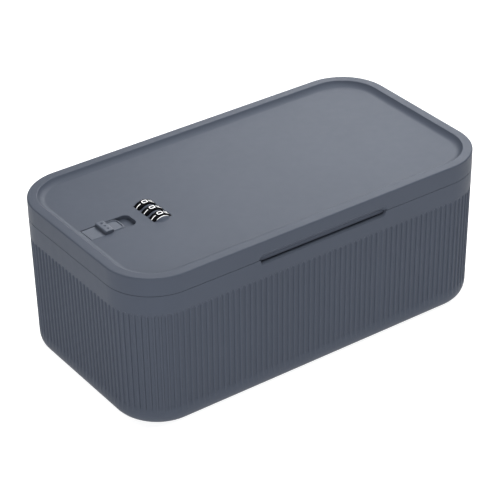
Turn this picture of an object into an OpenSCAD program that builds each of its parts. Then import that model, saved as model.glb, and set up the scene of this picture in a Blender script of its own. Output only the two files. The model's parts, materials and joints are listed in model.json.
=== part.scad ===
// Lockable storage box: a fluted bin, a hinged lid, a three-wheel number lock and a slide latch.
// Millimetres. X runs along the box with the lock at -X, the front is -Y and the floor is Z = 0.

/* [Box] */
// Outside length along X
box_l = 300; // [280:1:360]
// Outside width along Y, at the lid
box_w = 162.5; // [150:0.5:200]
// Height from the floor to the lid's rim
box_h = 120.4; // [100:0.1:160]
// Plan radius of the upright corners
corner_r = 36.8; // [32:0.1:42]
// Radius of the bin's bottom edge
bottom_r = 13.9; // [9:0.1:16]
// Inward lean of the bin's walls for each millimetre below the seam
draft = 0.014; // [0:0.001:0.02]
// Wall thickness of the bin and of the lid's skirt
wall = 2.6; // [2.4:0.1:3]

/* [Lid] */
// Height of the lid's skirt, from the seam to the rim
skirt_h = 13.9; // [13:0.1:16]
// Gap between the lid's skirt and the bin's edge
seam_gap = 0.4; // [0.3:0.05:0.6]
// Radius of the rim's outer edge
rim_r = 2; // [1:0.1:3]
// Width of the flat rim around the lid
rim_w = 7; // [6:0.1:8]
// Width of the hollow slope from the rim down to the panel
slope_w = 5.8; // [4:0.1:6]
// Depth of the panel below the rim
panel_drop = 3.2; // [2.6:0.1:3.4]
// Thickness of the panel
panel_t = 2.4; // [2.2:0.1:2.6]
// Depth of the locating lip below the seam
lip_drop = 3; // [2:0.1:3.2]

/* [Finger slots] */
// Length of the finger slot in the middle of each long side
finger_l = 106; // [80:1:120]
// Height of the finger slot, half in the lid and half in the bin
finger_h = 5.8; // [5:0.1:6.4]

/* [Number lock] */
// Distance of the wheels' axle from the lid's lock end
axle_from_end = 65.8; // [65:0.1:70]
// Depth of the wheels' axle below the rim
axle_drop = 9.2; // [9.1:0.05:9.4]
// Radius of a number wheel
wheel_r = 9.1; // [8.8:0.05:9.2]
// Width of a number wheel
wheel_w = 6.4; // [6.2:0.1:6.4]
// Distance between neighbouring wheels
wheel_pitch = 9.3; // [9.3:0.05:9.5]
// Radius of the steel axle
axle_r = 1.5; // [1.4:0.05:1.6]
// Distance that the reset button moves the axle
reset_travel = 1.1; // [1:0.05:1.1]

/* [Slide latch] */
// Distance of the latch recess from the lid's lock end
recess_from_end = 13; // [13:0.1:13.6]
// Length of the latch recess
recess_l = 36.6; // [36.4:0.1:37]
// Width of the latch recess
recess_w = 14.4; // [14.2:0.1:15]
// Depth of the latch recess
recess_d = 3; // [2.8:0.1:3]
// Distance that the latch slides
latch_travel = 8.5; // [6:0.1:8.5]

/* [Hinge] */
// Radius of the steel hinge pins
pin_r = 1.25; // [1:0.05:1.5]
// Outside radius of the hinge knuckles
knuckle_r = 3.5; // [3.3:0.1:3.6]
// Distance of the hinge's axis outside the end wall
hinge_out = 4; // [4:0.1:4.4]
// Distance of each hinge's middle from the box's middle
hinge_y = 26; // [20:0.5:28]

/* [Hidden] */
$fn = 96;
eps = 0.01;
hull_fn = 32;

// Colours
slate = [0.40, 0.43, 0.48];
black = [0.05, 0.05, 0.06];
steel = [0.72, 0.73, 0.75];
cream = [0.86, 0.84, 0.78];
dark = [0.22, 0.23, 0.25];

// Heights
seam_z = box_h - skirt_h;
panel_z = box_h - panel_drop;
under_z = panel_z - panel_t;
recess_z = panel_z - recess_d;
tub_wall = 1.4;
tub_z = recess_z - tub_wall;
axle_z = box_h - axle_drop;

// Lid lip, measured inwards from the outside of the box
lip_gap = 0.4;
lip_in = wall + lip_gap;
lip_out = lip_in + 1.8;

// Number lock
axle_x = axle_from_end - box_l / 2;
window_gap = 0.3;
window_w = wheel_w + 0.5;
cheek_r = wheel_r - 0.7;
cheek_w = 4.25;
cheek_y = wheel_pitch + window_w / 2;
cam_r = 4.6;
cam_t = 1.2;
cam_off = wheel_w / 2 + 0.3;
sleeve_r = 2.8;
sleeve_reach = 1;
run_gap = 0.06;
gate_w = 2.2;
gate_d = 2;
dog_w = 1.6;
dog_r = 4.2;
dog_l = 0.9;
collar_r = 2.3;
cavity_r = cam_r + 0.4;
wheel_ys = [-wheel_pitch, 0, wheel_pitch];

// Lock housing, a tray under the lid
tray_x0 = axle_x - 13.3;
tray_x1 = axle_x + 13.2;
tray_y = 18;
tray_wall = 1.6;
tray_floor_z = axle_z - wheel_r - 0.7;
tray_top_z = under_z - 0.2;
ear_z = under_z - 4.8;
ear_t = 1.6;
ear_y = 23;
ear_r = 3.6;
boss_r = 3;
screw_r = 1.15;
thread_r = 1.2;
loose_r = 1.45;
ear_points = [for (x = [-8.2, 8.2], y = [-ear_y, ear_y]) [axle_x + x, y]];

// Reset button on the end of the axle
button_r = 3.2;
button_y = 21.6;
button_t = 2;
spring_wire = 0.25;
spring_r = 2.3;
spring_turns = 3.5;

// Slide latch
recess_x = recess_from_end - box_l / 2;
plate_gap = 0.3;
plate_x = recess_x + plate_gap;
plate_l = recess_l - latch_travel - 2 * plate_gap;
plate_z = recess_z + 0.2;
plate_t = panel_z - 0.3 - plate_z;
bar_x = recess_x + 11.5;
bar_l = 6.5;
bar_h = 2.4;
bar_edge_r = 0.9;
ridge_w = 0.8;
ridge_h = 0.4;
stem_x = recess_x + 10;
stem_l = 7.6;
stem_w = 4.8;
slot_gap = 0.4;
bolt_top_z = tub_z - 0.3;
bolt_t = 2.4;
bolt_w = 14;
bolt_x = recess_x + 3;
web_t = 2.5;
nose_top_z = seam_z - 6.1;
nose_t = 2.4;
nose_gap = 0.5;
fence_gap = 0.6;
fence_t = 1;
fence_h = 1.8;
fence_bar = 3;
fence_reach = 6;
fence_tip = axle_x - cam_r - fence_gap - latch_travel;

// Strike on the bin's end wall
pad_x = 3.4 - box_l / 2;
strike_t = 1.4;
strike_w = 24;
strike_h = 14.8;
lip_w = 18;
strike_top_z = nose_top_z + 2.4;
strike_lip_t = 1.8;
strike_lip_l = 3.2;
strike_screw_y = 7.5;
strike_screw_z = strike_top_z - 10;

// Hinge
hinge_x = box_l / 2 + hinge_out;
hinge_z = seam_z;
knuckle_l = 6;
mid_knuckle_l = 12.4;
knuckle_gap = 0.4;
pin_l = mid_knuckle_l + 2 * (knuckle_l + knuckle_gap);
leaf_in = 1;
open_angle = 105;
stop_r = 4.9;
cup_r = 3.8;
cup_t = 1.4;

// ---- Shared shapes ----

// Plan of the box, drawn in from the outside by a distance
module plan(inset) {
    r = corner_r - inset;
    l = box_l - 2 * inset;
    w = box_w - 2 * inset;
    square([l - 2 * r, w], center = true);
    square([l, w - 2 * r], center = true);
    for (x = [-1, 1], y = [-1, 1])
        translate([x * (l / 2 - r), y * (w / 2 - r)])
            circle(r);
}

// Thin slice of the plan at a height, as a child of a hull
module slice(inset, z) {
    translate([0, 0, z])
        linear_extrude(eps)
            plan(inset, $fn = hull_fn);
}

// Solid of the plan between two heights
module prism(inset, z0, z1) {
    translate([0, 0, z0])
        linear_extrude(z1 - z0)
            plan(inset);
}

// Body of the bin's outside or inside, with leaning walls and a rounded bottom edge
module bin_body(inset, z0, z1) {
    r = bottom_r - inset;
    hull() {
        for (a = [0 : 18 : 90])
            slice(inset + draft * (seam_z - z0 - r) + r * (1 - sin(a)), z0 + r * (1 - cos(a)));
        slice(inset, z1 - eps);
    }
}

// Cylinder along Y from one Y to another
module rod_y(r, x, z, y0, y1) {
    translate([x, y1, z])
        rotate([90, 0, 0])
            cylinder(r = r, h = y1 - y0);
}

// Cylinder along X from one X to another
module rod_x(r, y, z, x0, x1) {
    translate([x0, y, z])
        rotate([0, 90, 0])
            cylinder(r = r, h = x1 - x0);
}

// Upright cylinder between two heights
module rod_z(r, x, y, z0, z1) {
    translate([x, y, z0])
        cylinder(r = r, h = z1 - z0);
}

// Box between two corners
module block(a, b) {
    translate(a)
        cube(b - a);
}

// Rectangle between two corners with its +X corners rounded
module end_rounded(x0, x1, w, r) {
    translate([x0, -w / 2])
        square([x1 - x0 - r, w]);
    translate([x0, -w / 2 + r])
        square([x1 - x0, w - 2 * r]);
    for (s = [-1, 1])
        translate([x1 - r, s * (w / 2 - r)])
            circle(r, $fn = 48);
}

// Pan-head screw with its head's underside at the origin and its shank along +Z
module screw(shank_r, shank_l, head_r, head_h) {
    cylinder(r = shank_r, h = shank_l, $fn = 32);
    difference() {
        translate([0, 0, -head_h])
            cylinder(r = head_r, h = head_h, $fn = 48);
        for (turn = [0, 90])
            rotate([0, 0, turn])
                translate([-head_r * 0.6, -head_r * 0.12, -head_h - eps])
                    cube([head_r * 1.2, head_r * 0.24, head_h * 0.5]);
    }
}

// Finger slot through both long sides, down to the lid's lip
module finger_slots() {
    r = finger_h / 2;
    for (s = [-1, 1])
        translate([0, s * (box_w / 2 - lip_in + (s > 0 ? 10 : 0)), seam_z + seam_gap / 2])
            rotate([90, 0, 0])
                linear_extrude(10) {
                    square([finger_l - 2 * r, finger_h], center = true);
                    for (x = [-1, 1])
                        translate([x * (finger_l / 2 - r), 0])
                            circle(r, $fn = 48);
                }
}

// ---- Bin ----

module strike_pad() {
    z0 = strike_top_z - strike_h - 2;
    block([1 - box_l / 2, -strike_w / 2 - 1, z0], [pad_x, strike_w / 2 + 1, strike_top_z]);
}

module bin_knuckles() {
    reach = mid_knuckle_l / 2 + knuckle_gap;
    for (h = [-1, 1], s = [-1, 1]) {
        y0 = h * hinge_y + (s > 0 ? reach : -reach - knuckle_l);
        rod_y(knuckle_r, hinge_x, hinge_z, y0, y0 + knuckle_l);
        block([box_l / 2 - leaf_in, y0, hinge_z - 7], [hinge_x, y0 + knuckle_l, hinge_z - 0.2]);
    }
}

// Hooked rib under each lid knuckle that stops the lid at its open angle
module lid_stops() {
    stop = open_angle - 90 + 12;
    for (h = [-1, 1])
        difference() {
            union() {
                rod_y(cup_r + cup_t, hinge_x, hinge_z, h * hinge_y - 3, h * hinge_y + 3);
                block([box_l / 2 - leaf_in, h * hinge_y - 3, hinge_z - 7],
                      [hinge_x, h * hinge_y + 3, hinge_z - 0.2]);
            }
            rod_y(cup_r, hinge_x, hinge_z, h * hinge_y - 4, h * hinge_y + 4);
            block([hinge_x - 10, h * hinge_y - 4, hinge_z - 0.2], [hinge_x + 10, h * hinge_y + 4, hinge_z + 10]);
            translate([hinge_x, h * hinge_y - 4, hinge_z])
                rotate([0, stop, 0])
                    cube([10, 8, 10]);
        }
}

module bin_shell() {
    color(slate)
        difference() {
            union() {
                difference() {
                    bin_body(0, 0, seam_z);
                    bin_body(wall, wall, seam_z + 1);
                }
                strike_pad();
                bin_knuckles();
                lid_stops();
            }
            finger_slots();
            for (h = [-1, 1])
                rod_y(pin_r, hinge_x, hinge_z, h * hinge_y - pin_l / 2 - 1, h * hinge_y + pin_l / 2 + 1);
            for (s = [-1, 1])
                rod_x(thread_r, s * strike_screw_y, strike_screw_z, pad_x - 3, pad_x + 1);
        }
}

module strike_plate() {
    x0 = pad_x;
    x1 = pad_x + strike_t;
    color(steel)
        difference() {
            union() {
                block([x0, -strike_w / 2, strike_top_z - strike_h], [x1, strike_w / 2, strike_top_z]);
                block([x0, -lip_w / 2, strike_top_z - strike_lip_t],
                          [x1 + strike_lip_l, lip_w / 2, strike_top_z]);
            }
            for (s = [-1, 1])
                rod_x(loose_r, s * strike_screw_y, strike_screw_z, x0 - 1, x1 + 1);
        }
}

module strike_screws() {
    color(steel)
        for (s = [-1, 1])
            translate([pad_x + strike_t, s * strike_screw_y, strike_screw_z])
                rotate([0, -90, 0])
                    screw(screw_r, strike_t + 2.8, 2.6, 1.6);
}

module hinge_pins() {
    color(steel)
        for (h = [-1, 1])
            rod_y(pin_r, hinge_x, hinge_z, h * hinge_y - pin_l / 2, h * hinge_y + pin_l / 2);
}

// ---- Lid ----

// Outside of the lid, with its rounded rim edge
module lid_body() {
    hull() {
        slice(0, seam_z + seam_gap);
        for (a = [0 : 22.5 : 90])
            slice(rim_r * (1 - cos(a)), box_h - eps - rim_r * (1 - sin(a)));
    }
}

// Dished space above the panel
module panel_dish() {
    hull() {
        slice(rim_w - 0.3, box_h + 1);
        for (a = [0 : 18 : 90])
            slice(rim_w + slope_w * (1 - cos(a)), box_h - panel_drop * sin(a));
    }
}

module lid_lip() {
    difference() {
        prism(lip_in, seam_z + seam_gap - lip_drop, under_z);
        prism(lip_out, 0, box_h);
    }
}

module lid_knuckles() {
    for (h = [-1, 1]) {
        y0 = h * hinge_y - mid_knuckle_l / 2;
        rod_y(knuckle_r, hinge_x, hinge_z, y0, y0 + mid_knuckle_l);
        block([box_l / 2 - leaf_in, y0, hinge_z + seam_gap],
              [hinge_x, y0 + mid_knuckle_l, hinge_z + knuckle_r]);
        block([hinge_x - 0.7, h * hinge_y - 2.6, hinge_z], [hinge_x + 0.7, h * hinge_y + 2.6, hinge_z + stop_r]);
    }
}

// Arched dividers and cheeks that stand beside the number wheels
module wheel_cheeks() {
    intersection() {
        union() {
            rod_y(cheek_r, axle_x, axle_z, -cheek_y, cheek_y);
            for (s = [-1, 1])
                translate([axle_x, s * cheek_y, axle_z])
                    rotate([-s * 90, 0, 0])
                        cylinder(r1 = cheek_r, r2 = box_h - panel_drop - axle_z - 0.1, h = cheek_w);
        }
        block([axle_x - 10, -30, under_z], [axle_x + 10, 30, box_h]);
    }
}

module wheel_windows() {
    for (y = wheel_ys)
        rod_y(wheel_r + window_gap, axle_x, axle_z, y - window_w / 2, y + window_w / 2);
    rod_y(cavity_r, axle_x, axle_z, -wheel_pitch - cam_off - cam_t - 1.2, wheel_pitch + 3.6);
}

module latch_recess() {
    translate([0, 0, recess_z])
        linear_extrude(recess_d + 1)
            end_rounded(recess_x, recess_x + recess_l, recess_w, 4);
    block([stem_x - slot_gap, -stem_w / 2 - slot_gap, tub_z - 1],
          [stem_x + stem_l + latch_travel + slot_gap, stem_w / 2 + slot_gap, recess_z + 1]);
}

module latch_tub() {
    block([recess_x - tub_wall, -recess_w / 2 - tub_wall, tub_z],
          [recess_x + recess_l + tub_wall, recess_w / 2 + tub_wall, under_z + 1]);
}

// Two posts that hold the ends of the latch's click spring
module detent_posts() {
    y0 = bolt_w / 2 + 1.9;
    for (x = [stem_x - 0.5, stem_x + 16.5])
        block([x, y0, bolt_top_z - bolt_t], [x + 2, y0 + 2, under_z + 1]);
}

module lid_shell() {
    color(slate)
        difference() {
            union() {
                difference() {
                    lid_body();
                    prism(lip_out, 0, under_z);
                }
                lid_lip();
                lid_knuckles();
                latch_tub();
                detent_posts();
                for (p = ear_points)
                    rod_z(boss_r, p[0], p[1], ear_z, under_z + 1);
                wheel_cheeks();
            }
            difference() {
                panel_dish();
                wheel_cheeks();
            }
            wheel_windows();
            latch_recess();
            finger_slots();
            for (p = ear_points)
                rod_z(thread_r, p[0], p[1], ear_z - 1, ear_z + 4);
            for (h = [-1, 1])
                rod_y(pin_r + run_gap, hinge_x, hinge_z, h * hinge_y - 10, h * hinge_y + 10);
        }
}

// ---- Lock housing and springs ----

module lock_housing() {
    color(dark)
        difference() {
            union() {
                block([tray_x0, -tray_y, tray_floor_z - 1.2], [tray_x1, tray_y, tray_floor_z]);
                block([tray_x1 - tray_wall, -tray_y, tray_floor_z - 1.2], [tray_x1, tray_y, tray_top_z]);
                for (s = [-1, 1])
                    block([tray_x0, s > 0 ? tray_y - tray_wall : -tray_y, tray_floor_z - 1.2],
                          [tray_x1, s > 0 ? tray_y : tray_wall - tray_y, tray_top_z]);
                for (p = ear_points) {
                    rod_z(ear_r, p[0], p[1], ear_z - ear_t, ear_z);
                    block([p[0] - ear_r, p[1] > 0 ? tray_y - 1 : -ear_y, ear_z - ear_t],
                          [p[0] + ear_r, p[1] > 0 ? ear_y : 1 - tray_y, ear_z]);
                }
            }
            for (p = ear_points)
                rod_z(loose_r, p[0], p[1], ear_z - 5, ear_z + 5);
            rod_y(axle_r + run_gap, axle_x, axle_z, -tray_y - 1, tray_y + 1);
        }
}

module housing_screws() {
    color(steel)
        for (p = ear_points)
            translate([p[0], p[1], ear_z - ear_t])
                screw(screw_r, ear_t + 3.6, 2.4, 1.4);
}

// Leaf spring whose three bowed fingers click on the wheels' grooves
module dial_detent_spring() {
    t = 0.3;
    x1 = tray_x1 - tray_wall;
    bow = axle_x + wheel_r + 0.2;
    r = 2;
    color(steel) {
        block([x1 - t, -tray_y + 2.4, tray_floor_z + 0.6], [x1, tray_y - 2.4, tray_floor_z + 5.4]);
        for (y = wheel_ys) {
            block([x1 - t, y - 2, tray_floor_z + 5.4], [x1, y + 2, axle_z - r + t]);
            block([x1 - t, y - 2, axle_z + r - t], [x1, y + 2, axle_z + r + 0.8]);
            intersection() {
                difference() {
                    rod_y(r, bow + r, axle_z, y - 2, y + 2);
                    rod_y(r - t, bow + r, axle_z, y - 3, y + 3);
                }
                block([bow - 1, y - 2, axle_z - r], [x1, y + 2, axle_z + r]);
            }
        }
    }
}

// Thin strip with a bump that clicks into two notches in the bolt's edge
module latch_detent_spring() {
    t = 0.4;
    y0 = bolt_w / 2 + 1.5;
    z0 = bolt_top_z - bolt_t + 0.2;
    x0 = stem_x - 0.5;
    mid = x0 + 9.5;
    r = 1.8;
    cut_y = y0 + t;
    color(steel) {
        block([x0, y0, z0], [mid - r + 0.1, y0 + t, z0 + 2]);
        block([mid + r - 0.1, y0, z0], [x0 + 19, y0 + t, z0 + 2]);
        difference() {
            rod_z(r, mid, cut_y, z0, z0 + 2);
            rod_z(r - t, mid, cut_y, z0 - 1, z0 + 3);
            block([mid - r - 1, cut_y, z0 - 1], [mid + r + 1, cut_y + r + 1, z0 + 3]);
        }
    }
}

// Coil between the housing and the button, swept with six sides
module reset_spring() {
    rings = 49;
    sides = 6;
    y0 = tray_y + spring_wire + 0.05;
    y1 = button_y - spring_wire - 0.05;
    points = [for (i = [0 : rings - 1], k = [0 : sides - 1])
        let (s = i / (rings - 1), turn = 360 * spring_turns * s, a = 360 * k / sides,
             r = spring_r + spring_wire * cos(a))
            [r * cos(turn), y0 + (y1 - y0) * s + spring_wire * sin(a), r * sin(turn)]];
    walls = [for (i = [0 : rings - 2], k = [0 : sides - 1])
        let (n = (k + 1) % sides)
            [i * sides + k, i * sides + n, (i + 1) * sides + n, (i + 1) * sides + k]];
    first = [for (k = [sides - 1 : -1 : 0]) k];
    last = [for (k = [0 : sides - 1]) (rings - 1) * sides + k];
    color(steel)
        translate([axle_x, 0, axle_z])
            polyhedron(points, concat([first], walls, [last]));
}

// ---- Slide latch ----

module latch_slider() {
    bar_y = recess_w / 2 - 0.2;
    plate_w = recess_w - 2 * plate_gap;
    ridge_x = bar_x + bar_l - 1;
    ridge_end = plate_x + plate_l - 0.8;
    color(slate) {
        translate([0, 0, plate_z])
            linear_extrude(plate_t)
                end_rounded(plate_x, plate_x + plate_l, plate_w, 3.8);
        translate([0, 0, plate_z + plate_t])
            linear_extrude(ridge_h)
                difference() {
                    end_rounded(ridge_x, ridge_end, plate_w - 1.6, 3);
                    end_rounded(ridge_x, ridge_end - ridge_w, plate_w - 1.6 - 2 * ridge_w, 2.4);
                }
        difference() {
            thumb_bar(bar_y);
            for (y = [-4, 0, 4])
                translate([bar_x + bar_l / 2, y, plate_z + plate_t + bar_h + 0.9])
                    sphere(1.4, $fn = 32);
        }
        block([stem_x, -stem_w / 2, bolt_top_z], [stem_x + stem_l, stem_w / 2, plate_z + 1]);
    }
}

// Raised bar across the slider, with its long top edges rounded
module thumb_bar(half_w) {
    z0 = plate_z + plate_t - 0.5;
    z1 = plate_z + plate_t + bar_h;
    block([bar_x, -half_w, z0], [bar_x + bar_l, half_w, z1 - bar_edge_r]);
    block([bar_x + bar_edge_r, -half_w, z0], [bar_x + bar_l - bar_edge_r, half_w, z1]);
    for (x = [bar_x + bar_edge_r, bar_x + bar_l - bar_edge_r])
        rod_y(bar_edge_r, x, z1 - bar_edge_r, -half_w, half_w);
}

module latch_bolt() {
    plate_z0 = bolt_top_z - bolt_t;
    nose_end = pad_x + strike_t + strike_lip_l + nose_gap;
    bar_end = fence_tip - fence_reach;
    fence_ys = [for (y = wheel_ys) y - cam_off - cam_t / 2];
    notch_x = stem_x + 9;
    color(steel)
        difference() {
            union() {
                block([bolt_x, -bolt_w / 2, plate_z0], [bar_end, bolt_w / 2, bolt_top_z]);
                block([bolt_x, -bolt_w / 2, nose_top_z - nose_t], [bolt_x + web_t, bolt_w / 2, bolt_top_z]);
                block([nose_end, -bolt_w / 2 + 1, nose_top_z - nose_t],
                      [bolt_x + web_t, bolt_w / 2 - 1, nose_top_z]);
                block([bar_end - fence_bar, fence_ys[0] - 1, plate_z0], [bar_end, bolt_w / 2, bolt_top_z]);
                for (y = fence_ys)
                    block([bar_end - eps, y - fence_t / 2, axle_z - fence_h / 2],
                          [fence_tip, y + fence_t / 2, axle_z + fence_h / 2]);
            }
            for (x = [2, stem_l - 2])
                rod_z(1.1, stem_x + x, 0, plate_z0 - 1, bolt_top_z + 1);
            for (x = [notch_x, notch_x - latch_travel])
                rod_z(0.8, x, bolt_w / 2 + 0.3, plate_z0 - 1, bolt_top_z + 1);
        }
}

module bolt_screws() {
    color(steel)
        for (x = [2, stem_l - 2])
            translate([stem_x + x, 0, bolt_top_z - bolt_t])
                screw(0.9, bolt_t, 1.7, 1.1);
}

// ---- Number wheels and their axle ----

module dial_axle() {
    color(steel) {
        rod_y(axle_r, axle_x, axle_z, -tray_y - 0.5, button_y + 1.2);
        for (y = wheel_ys)
            rod_y(collar_r, axle_x, axle_z, y + sleeve_reach + 0.05, y + sleeve_reach + 0.85);
        rod_y(collar_r, axle_x, axle_z, tray_y - tray_wall - 0.8, tray_y - tray_wall - 0.1);
    }
}

// Three snap rings, one beside each cam
module axle_clips() {
    color(steel)
        for (y = wheel_ys)
            difference() {
                rod_y(collar_r, axle_x, axle_z, y - cam_off - cam_t - 0.45, y - cam_off - cam_t - 0.05);
                rod_y(axle_r, axle_x, axle_z, y - 10, y);
                block([axle_x - 0.6, y - 10, axle_z - 5], [axle_x + 0.6, y, axle_z]);
            }
}

module reset_button() {
    color(dark)
        difference() {
            union() {
                rod_y(button_r, axle_x, axle_z, button_y, button_y + button_t - 0.5);
                rod_y(button_r - 0.5, axle_x, axle_z, button_y, button_y + button_t);
            }
            rod_y(axle_r, axle_x, axle_z, button_y - 1, button_y + 1.2);
        }
}

// Ring with a groove between each two of its ten numbers, and a keyway for the cam's dog
module number_wheel(y) {
    color(black)
        difference() {
            rod_y(wheel_r, axle_x, axle_z, y - wheel_w / 2, y + wheel_w / 2);
            rod_y(sleeve_r + run_gap, axle_x, axle_z, y - wheel_w, y + wheel_w);
            for (k = [0 : 9])
                translate([axle_x, y - wheel_w, axle_z])
                    rotate([0, 18 + 36 * k, 0])
                        translate([0, 0, wheel_r + 0.25])
                            rotate([-90, 0, 0])
                                cylinder(r = 0.6, h = 2 * wheel_w, $fn = 24);
            block([axle_x - dog_w / 2 - 0.1, y - wheel_w, axle_z],
                  [axle_x + dog_w / 2 + 0.1, y - wheel_w / 2 + dog_l + 0.2, axle_z + dog_r + 0.15]);
        }
}

// Gated disc on a sleeve that turns with its wheel until the axle is pushed
module wheel_cam(y) {
    y1 = y - cam_off;
    color(cream)
        difference() {
            union() {
                rod_y(cam_r, axle_x, axle_z, y1 - cam_t, y1);
                rod_y(sleeve_r, axle_x, axle_z, y1 - eps, y + sleeve_reach);
                block([axle_x - dog_w / 2, y1 - eps, axle_z],
                      [axle_x + dog_w / 2, y - wheel_w / 2 + dog_l, axle_z + dog_r]);
            }
            rod_y(axle_r + run_gap, axle_x, axle_z, y - wheel_w, y + wheel_w);
            block([axle_x - cam_r - 1, y - wheel_w, axle_z - gate_w / 2],
                  [axle_x - cam_r + gate_d, y1 + eps, axle_z + gate_w / 2]);
        }
}

module number_wheel_1() { number_wheel(wheel_ys[0]); }
module number_wheel_2() { number_wheel(wheel_ys[1]); }
module number_wheel_3() { number_wheel(wheel_ys[2]); }
module wheel_cam_1() { wheel_cam(wheel_ys[0]); }
module wheel_cam_2() { wheel_cam(wheel_ys[1]); }
module wheel_cam_3() { wheel_cam(wheel_ys[2]); }

bin_shell();
strike_plate();
strike_screws();
hinge_pins();
lid_shell();
lock_housing();
housing_screws();
dial_detent_spring();
latch_detent_spring();
reset_spring();
latch_slider();
latch_bolt();
bolt_screws();
dial_axle();
axle_clips();
reset_button();
number_wheel_1();
number_wheel_2();
number_wheel_3();
wheel_cam_1();
wheel_cam_2();
wheel_cam_3();
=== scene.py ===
import json
import math

import bmesh
import bpy
import numpy as np
from mathutils import Matrix, Vector


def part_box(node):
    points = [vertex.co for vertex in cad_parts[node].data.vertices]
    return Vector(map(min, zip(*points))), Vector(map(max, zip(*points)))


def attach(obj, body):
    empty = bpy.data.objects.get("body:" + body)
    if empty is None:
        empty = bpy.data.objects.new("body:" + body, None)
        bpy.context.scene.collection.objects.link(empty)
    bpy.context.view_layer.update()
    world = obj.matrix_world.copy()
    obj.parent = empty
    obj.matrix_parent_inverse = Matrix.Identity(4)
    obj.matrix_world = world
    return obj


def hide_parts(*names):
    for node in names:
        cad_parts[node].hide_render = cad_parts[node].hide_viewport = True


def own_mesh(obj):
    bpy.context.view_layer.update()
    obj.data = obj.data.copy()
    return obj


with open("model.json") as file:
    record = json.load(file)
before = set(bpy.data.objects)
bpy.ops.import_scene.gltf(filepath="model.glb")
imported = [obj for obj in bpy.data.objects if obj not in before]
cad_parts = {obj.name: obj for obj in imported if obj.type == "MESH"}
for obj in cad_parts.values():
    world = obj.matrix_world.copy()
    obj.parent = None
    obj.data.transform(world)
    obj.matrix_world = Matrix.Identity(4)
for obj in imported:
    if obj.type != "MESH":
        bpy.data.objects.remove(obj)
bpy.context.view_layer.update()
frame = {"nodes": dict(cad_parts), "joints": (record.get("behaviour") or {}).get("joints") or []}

# ---------------------------------------------------------------------------
# Sizes. Shapes are worked out in millimetres in the shared frame, and MM turns them into metres.
# ---------------------------------------------------------------------------
MM = 0.001
TAU = 2 * math.pi
joints = {j["name"]: j for j in frame["joints"]}


def box_mm(node):
    """The two corners of a node's box, in millimetres."""
    low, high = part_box(node)
    return [v / MM for v in low], [v / MM for v in high]


lid_low, lid_high = box_mm("lid_shell")
slider_low, slider_high = box_mm("latch_slider")

BOX_L = -2 * lid_low[0]
BOX_W = 2 * lid_high[1]
BOX_H = lid_high[2]
HINGE_X = joints["lid_hinge"]["pos_m"][0] / MM
SEAM_Z = joints["lid_hinge"]["pos_m"][2] / MM
AXLE_X = joints["dial_1_turn"]["pos_m"][0] / MM
AXLE_Z = joints["dial_1_turn"]["pos_m"][2] / MM
WHEEL_YS = [joints[f"dial_{i}_turn"]["pos_m"][1] / MM for i in (1, 2, 3)]
HINGE_YS = (-26.0, 26.0)

# the box as a whole: corners seen from above, bottom edge, wall, lean of the walls, seam
CORNER_R = 36.8
BOTTOM_R = 12.0
WALL = 2.6
DRAFT = 0.014
SEAM_GAP = 0.4
BIN_TOP = SEAM_Z + 0.1
LID_FOOT = SEAM_Z + 0.3
SOFT_EDGE = 0.2

# lid: panel, rim with its slope, outer edge, and the lip that locates it in the bin
PANEL_Z = BOX_H - 3.2
UNDER_Z = PANEL_Z - 2.4
RIM_W = 7.0
SLOPE_W = 5.8
EDGE_R = 1.0
CREST_R = 0.9
LIP_IN = 3.0
LIP_OUT = 4.8
LIP_Z = SEAM_Z + SEAM_GAP - 3.0

# finger slots in the long sides
SLOT_HALF = 53.0
SLOT_R = 2.9
SLOT_Z = SEAM_Z + SEAM_GAP / 2
SCOOP_R = 4.1

# fluted band: upright half-round beads all round the bin
FLUTES = 194
FLUTE_DEPTH = 1.0
BEAD_HALF = 1.0
BEAD_SHIFT = 2.3
FLUTE_TOP = 92.6
FLUTE_FOOT = 12.0

# hinge: knuckles, the lid's bars between them, the stop, where they root in the wall, and the pins' bores
KNUCKLE_R = 3.5
KNUCKLE_W = 6.0
KNUCKLE_START = 6.6
BAR_HALF = 6.2
STOP_R = 5.2
STOP_HOLLOW_R = 3.8
STOP_HALF = 3.0
HINGE_WALL_X = 149.0
HINGE_ROOT_X = 150.3
HINGE_ROOT_Z = 99.5
BIN_PIN_R = 1.27
LID_PIN_R = 1.31

# number wheels, and the mound round their windows
WHEEL_R = 9.1
WHEEL_W = 6.4
DIGIT_COUNT = 10
DIGIT_TURN = TAU / DIGIT_COUNT
HUMP_X = 11.0
HUMP_Y = 20.0
CHEEK_R = 8.1
CHEEK_Y = 12.75
CHEEK_END = 17.2

# where the lock's housing is screwed to posts under the panel, from the axle
POST_DX = 8.2
POST_Y = 23
POSTS = [(AXLE_X + dx, y) for dx in (-POST_DX, POST_DX) for y in (-POST_Y, POST_Y)]

# slide latch
RECESS = (-137.0, -100.4)
RECESS_HALF = 7.2
RECESS_Z = 114.65
SLIDER_HALF = 6.9
SLIDER_Z = 114.4
SLIDER_TOP = 116.9
THUMB_X = (-125.5, -119.0)

# strike
STRIKE_T = 1.4
STRIKE_SCREW_END = 1.6


# ---------------------------------------------------------------------------
# Mesh helpers
# ---------------------------------------------------------------------------
def new_object(name, verts, faces):
    """A mesh object from points in millimetres, with its faces turned outwards."""
    mesh = bpy.data.meshes.new(name)
    points = [tuple(np.asarray(v, float) * MM) for v in verts]
    mesh.from_pydata(points, [], [list(map(int, f)) for f in faces])
    mesh.validate()
    bm = bmesh.new()
    bm.from_mesh(mesh)
    bmesh.ops.recalc_face_normals(bm, faces=bm.faces)
    bm.to_mesh(mesh)
    bm.free()
    obj = bpy.data.objects.new(name, mesh)
    bpy.context.scene.collection.objects.link(obj)
    return obj


def join_shapes(shapes):
    """One list of points and faces from several closed shapes."""
    verts, faces = [], []
    for v, f in shapes:
        start = len(verts)
        verts.extend(v)
        faces.extend([[i + start for i in face] for face in f])
    return verts, faces


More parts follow.
